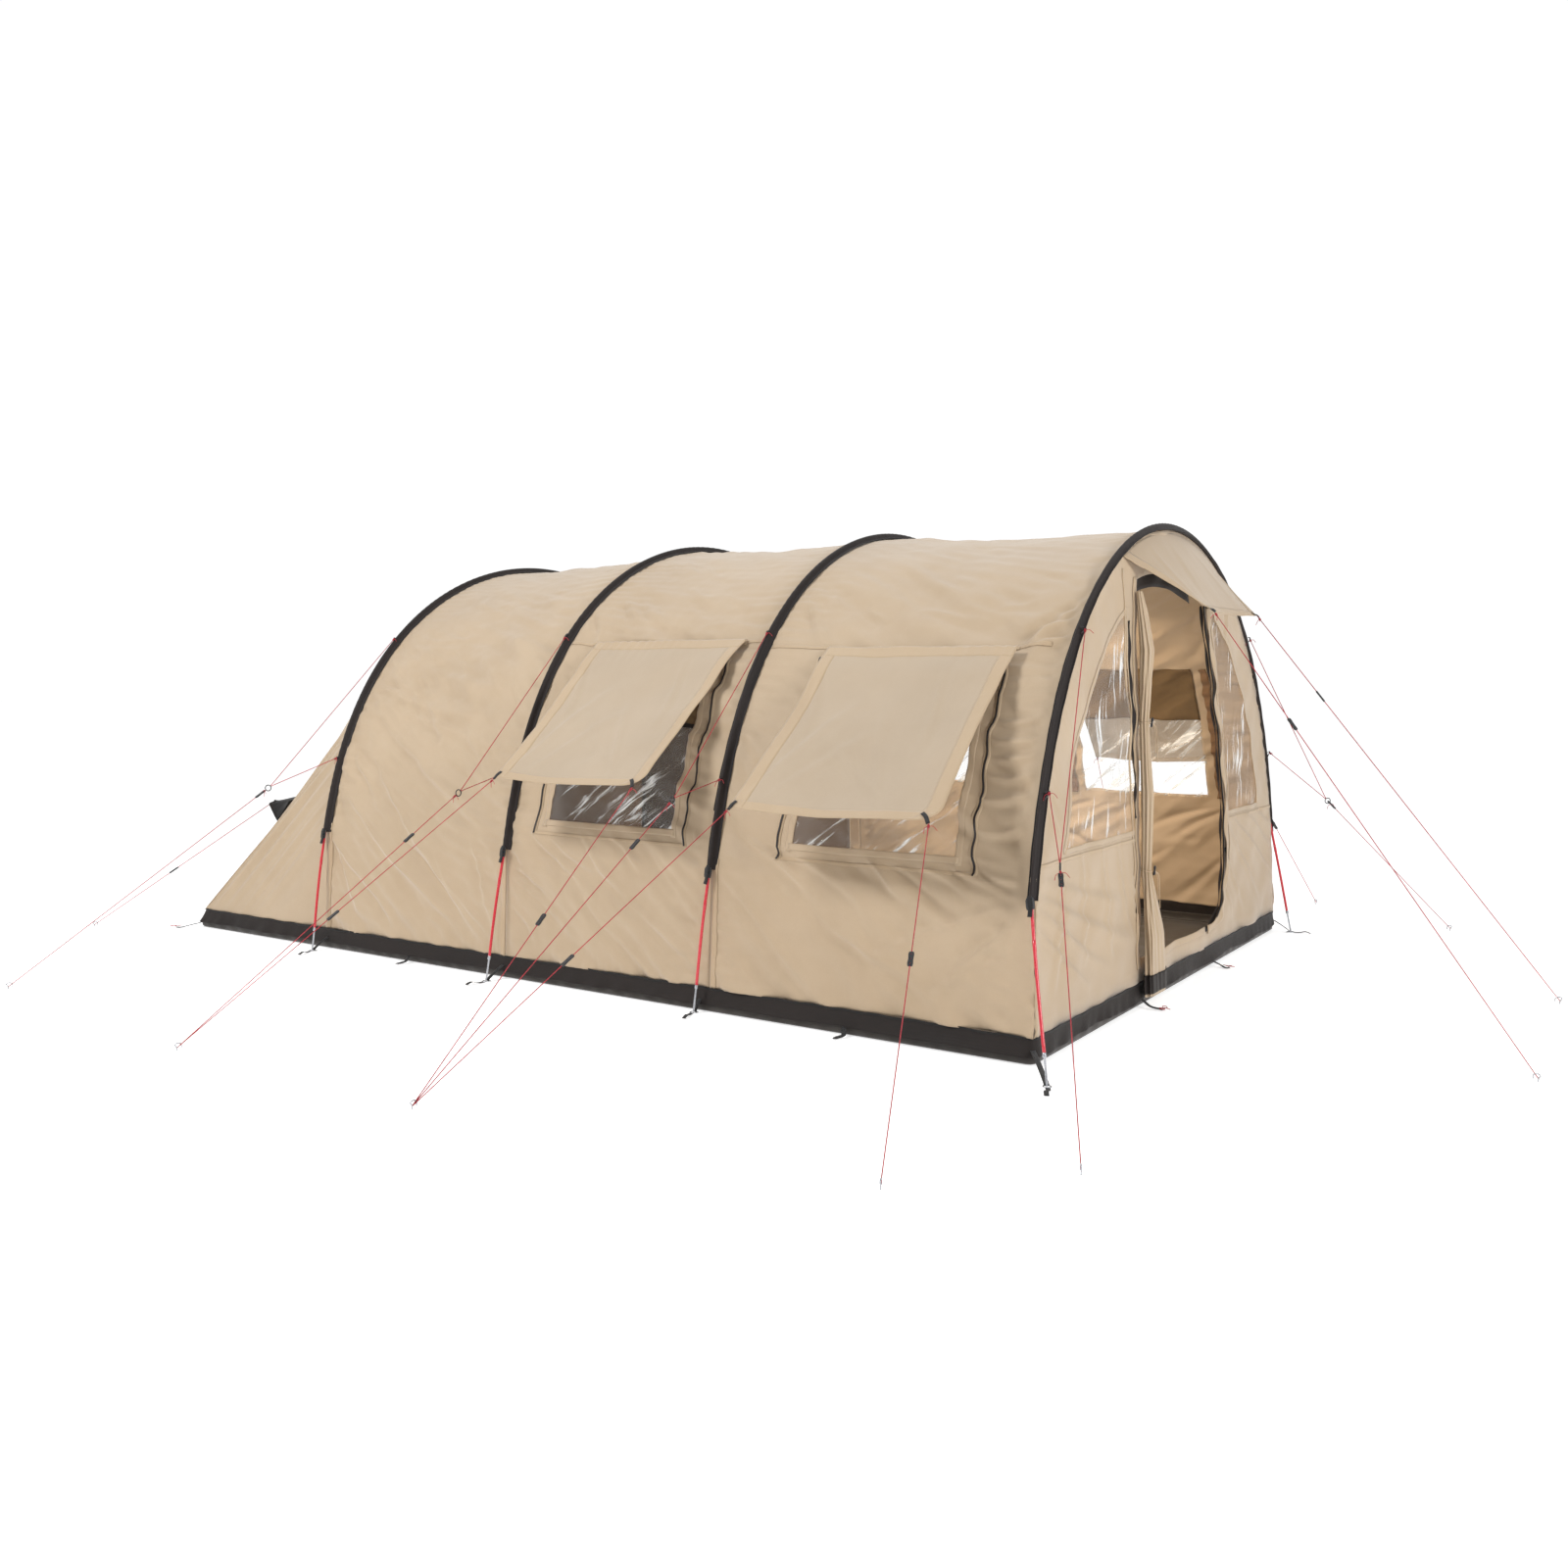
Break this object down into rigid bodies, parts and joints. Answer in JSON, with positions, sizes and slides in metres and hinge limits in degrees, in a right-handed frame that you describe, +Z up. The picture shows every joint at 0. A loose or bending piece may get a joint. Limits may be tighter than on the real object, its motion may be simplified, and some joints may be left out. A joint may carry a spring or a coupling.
{
  "type": "tunnel tent",
  "caption": "Tunnel tent on arched poles: beige roof bays, propped side window covers, clear front windows, small door awning, sloped tail with an inner sleeping cabin, and guy lines",
  "frame": {"origin": "on the ground under the groundsheet, midway across the tent and midway between the second and third hoop", "axes": "+Z up, -Y towards the door, +Y towards the sleeping end, +X to the tent's right seen from outside the door"},
  "size_m": [6.3978, 6.9672, 2.09],
  "materials": {
    "canvas": "beige woven polyester tent fabric",
    "brown_fabric": "dark brown woven polyester",
    "black_fabric": "black coated woven groundsheet fabric",
    "dark_mesh": "dark fine mesh",
    "cabin_fabric": "light breathable lining fabric",
    "clear_window": "clear soft plastic film",
    "pole_lacquer": "red lacquered fibreglass",
    "guy_line": "red braided cord",
    "plastic_fitting": "black moulded plastic",
    "steel": "plain steel pole pins and pegs",
    "webbing": "black webbing straps and tabs"
  },
  "bodies": {
    "tent": {"groundsheet": "black_fabric", "mud_skirt": "brown_fabric", "roof_bay_1": "canvas", "roof_bay_2": "canvas", "roof_bay_3": "canvas", "tail_panel": "canvas", "front_wall": "canvas", "door_bundle": "canvas", "awning": "canvas", "sleeping_cabin": "cabin_fabric", "side_window_2_left": "clear_window", "side_window_2_right": "clear_window", "side_window_3_left": "clear_window", "side_window_3_right": "clear_window", "front_window_left": "clear_window", "front_window_right": "clear_window", "vent_cowl_left": "black_fabric", "vent_cowl_right": "black_fabric", "pole_sleeve_1": "brown_fabric", "pole_sleeve_2": "brown_fabric", "pole_sleeve_3": "brown_fabric", "pole_sleeve_4": "brown_fabric", "pole_1": "pole_lacquer", "pole_2": "pole_lacquer", "pole_3": "pole_lacquer", "pole_4": "pole_lacquer", "guy_hoop_1_left": "guy_line", "guy_hoop_1_right": "guy_line", "guy_hoop_2_left": "guy_line", "guy_hoop_2_right": "guy_line", "guy_hoop_3_left": "guy_line", "guy_hoop_3_right": "guy_line", "guy_hoop_4_left": "guy_line", "guy_hoop_4_right": "guy_line", "guy_cover_left": "guy_line", "guy_cover_right": "guy_line", "guy_rear_left": "guy_line", "guy_rear_right": "guy_line", "guy_awning_left": "guy_line", "guy_awning_right": "guy_line"},
    "cabin_door": {"cabin_door": "dark_mesh"},
    "door_zip_slider": {"door_zip_slider": "plastic_fitting"},
    "window_cover_2_left": {"window_cover_2_left": "canvas"},
    "window_cover_2_right": {"window_cover_2_right": "canvas"},
    "window_cover_3_left": {"window_cover_3_left": "canvas"},
    "window_cover_3_right": {"window_cover_3_right": "canvas"},
    "tensioner_hoop_1_left": {"tensioner_hoop_1_left": "plastic_fitting"},
    "tensioner_hoop_2_left": {"tensioner_hoop_2_left": "plastic_fitting"},
    "tensioner_hoop_3_left": {"tensioner_hoop_3_left": "plastic_fitting"},
    "tensioner_hoop_4_left": {"tensioner_hoop_4_left": "plastic_fitting"},
    "tensioner_hoop_1_right": {"tensioner_hoop_1_right": "plastic_fitting"},
    "tensioner_hoop_2_right": {"tensioner_hoop_2_right": "plastic_fitting"},
    "tensioner_hoop_3_right": {"tensioner_hoop_3_right": "plastic_fitting"},
    "tensioner_hoop_4_right": {"tensioner_hoop_4_right": "plastic_fitting"},
    "tensioner_cover_2_rear": {"tensioner_cover_2_rear": "plastic_fitting"},
    "tensioner_cover_2_front": {"tensioner_cover_2_front": "plastic_fitting"},
    "tensioner_cover_3_rear": {"tensioner_cover_3_rear": "plastic_fitting"},
    "tensioner_cover_3_front": {"tensioner_cover_3_front": "plastic_fitting"},
    "tensioner_awning_left": {"tensioner_awning_left": "plastic_fitting"},
    "tensioner_awning_right": {"tensioner_awning_right": "plastic_fitting"}
  },
  "joints": [
    {"name": "cover_2_left_swing", "type": "hinge", "parent": "tent", "child": "window_cover_2_left", "pos_m": [-1.1678, -0.0425, 1.55], "axis": [0, -1, 0], "range_deg": [-22, 7]},
    {"name": "cover_2_right_swing", "type": "hinge", "parent": "tent", "child": "window_cover_2_right", "pos_m": [1.1678, -0.0425, 1.55], "axis": [0, 1, 0], "range_deg": [-22, 7]},
    {"name": "cover_3_left_swing", "type": "hinge", "parent": "tent", "child": "window_cover_3_left", "pos_m": [-1.2019, -1.3445, 1.51], "axis": [0, -1, 0], "range_deg": [-22, 7]},
    {"name": "cover_3_right_swing", "type": "hinge", "parent": "tent", "child": "window_cover_3_right", "pos_m": [1.2019, -1.3445, 1.51], "axis": [0, 1, 0], "range_deg": [-22, 7]},
    {"name": "cabin_door_swing", "type": "hinge", "parent": "tent", "child": "cabin_door", "pos_m": [-0.566, 0.6155, 0.78], "axis": [0, 0, -1], "range_deg": [0, 95]},
    {"name": "door_zip_run", "type": "slide", "parent": "tent", "child": "door_zip_slider", "axis": [-0.1093, 0.0364, 0.9933], "range_m": [-0.1, 0.4]},
    {"name": "tensioner_hoop_1_left_slide", "type": "slide", "parent": "tent", "child": "tensioner_hoop_1_left", "axis": [-0.8046, 0.1911, -0.5623], "range_m": [-0.022, 0.3]},
    {"name": "tensioner_hoop_2_left_slide", "type": "slide", "parent": "tent", "child": "tensioner_hoop_2_left", "axis": [-0.8416, 0.0528, -0.5375], "range_m": [-0.25, 0.3]},
    {"name": "tensioner_hoop_3_left_slide", "type": "slide", "parent": "tent", "child": "tensioner_hoop_3_left", "axis": [-0.8345, 0.0068, -0.551], "range_m": [-0.25, 0.3]},
    {"name": "tensioner_hoop_4_left_slide", "type": "slide", "parent": "tent", "child": "tensioner_hoop_4_left", "axis": [-0.6685, -0.3465, -0.658], "range_m": [-0.03, 0.3]},
    {"name": "tensioner_hoop_1_right_slide", "type": "slide", "parent": "tent", "child": "tensioner_hoop_1_right", "axis": [0.8046, 0.1911, -0.5623], "range_m": [-0.022, 0.3]},
    {"name": "tensioner_hoop_2_right_slide", "type": "slide", "parent": "tent", "child": "tensioner_hoop_2_right", "axis": [0.8416, 0.0528, -0.5375], "range_m": [-0.25, 0.3]},
    {"name": "tensioner_hoop_3_right_slide", "type": "slide", "parent": "tent", "child": "tensioner_hoop_3_right", "axis": [0.8345, 0.0068, -0.551], "range_m": [-0.25, 0.3]},
    {"name": "tensioner_hoop_4_right_slide", "type": "slide", "parent": "tent", "child": "tensioner_hoop_4_right", "axis": [0.4361, -0.5617, -0.7031], "range_m": [-0.005, 0.3]},
    {"name": "tensioner_cover_2_rear_slide", "type": "slide", "parent": "tent", "child": "tensioner_cover_2_rear", "axis": [-0.8035, 0.1933, -0.5631], "range_m": [-0.25, 0.3]},
    {"name": "tensioner_cover_2_front_slide", "type": "slide", "parent": "tent", "child": "tensioner_cover_2_front", "axis": [-0.8126, -0.1069, -0.5729], "range_m": [-0.25, 0.3]},
    {"name": "tensioner_cover_3_rear_slide", "type": "slide", "parent": "tent", "child": "tensioner_cover_3_rear", "axis": [-0.8108, 0.2043, -0.5485], "range_m": [-0.25, 0.3]},
    {"name": "tensioner_cover_3_front_slide", "type": "slide", "parent": "tent", "child": "tensioner_cover_3_front", "axis": [-0.7382, -0.2934, -0.6075], "range_m": [-0.25, 0.3]},
    {"name": "tensioner_awning_left_slide", "type": "slide", "parent": "tent", "child": "tensioner_awning_left", "axis": [-0.2303, -0.6054, -0.7619], "range_m": [-0.25, 0.3]},
    {"name": "tensioner_awning_right_slide", "type": "slide", "parent": "tent", "child": "tensioner_awning_right", "axis": [0.0887, -0.6049, -0.7914], "range_m": [-0.25, 0.3]}
  ]
}
